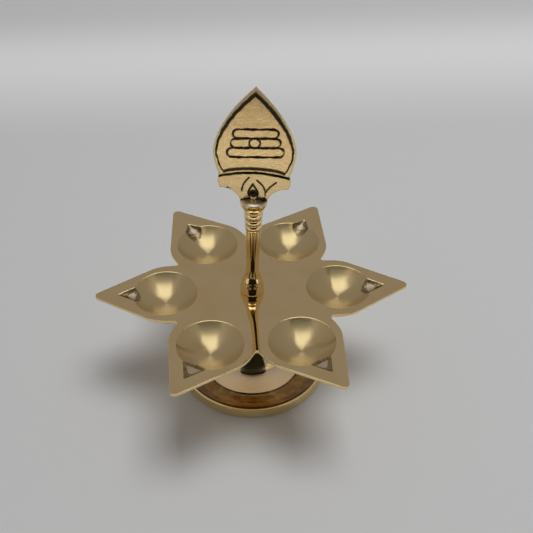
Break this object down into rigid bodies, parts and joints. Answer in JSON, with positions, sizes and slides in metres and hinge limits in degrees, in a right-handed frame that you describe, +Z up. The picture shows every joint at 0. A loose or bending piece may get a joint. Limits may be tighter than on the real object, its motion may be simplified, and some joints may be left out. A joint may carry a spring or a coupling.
{
  "type": "standing oil lamp",
  "caption": "Brass standing oil lamp: a flat petalled tray with round oil cups on a trumpet foot, and a slim turned stem with an engraved spearhead finial.",
  "frame": {"origin": "centre of the round foot, on the table", "axes": "+Z up the stem, -Y the engraved face of the finial, +X along one petal of the tray"},
  "size_m": [0.119, 0.1036, 0.1258],
  "materials": {
    "pedestal_brass": "turned, satin bell and polished moat",
    "tray_brass": "cast and hand polished, cups with fine turning marks",
    "stem_brass": "turned and polished",
    "blade_brass": "satin, dark patina in the engraving",
    "fastener_steel": "zinc plated"
  },
  "bodies": {
    "pedestal": {"pedestal_base": "pedestal_brass"},
    "tray": {"lamp_tray": "tray_brass"},
    "spindle": {"stem": "stem_brass", "vel_blade": "blade_brass", "tie_rod": "fastener_steel"},
    "washer": {"clamp_washer": "fastener_steel"},
    "nut": {"clamp_nut": "fastener_steel"}
  },
  "joints": [
    {"name": "tray_turn", "type": "hinge", "parent": "pedestal", "child": "tray", "pos_m": [0, 0, 0.0383], "axis": [0, 0, 1], "continuous": true},
    {"name": "stem_turn", "type": "hinge", "parent": "pedestal", "child": "spindle", "pos_m": [0, 0, 0.0405], "axis": [0, 0, 1], "continuous": true},
    {"name": "washer_slide", "type": "slide", "parent": "spindle", "child": "washer", "axis": [0, 0, -1], "range_m": [0, 0.0035]},
    {"name": "nut_turn", "type": "hinge", "parent": "washer", "child": "nut", "pos_m": [0, 0, 0.0149], "axis": [0, 0, -1], "range_deg": [0, 1800]}
  ],
  "couplings": [
    {"joint": "nut_turn", "follows": "washer_slide", "rad_per_m": 8976}
  ]
}
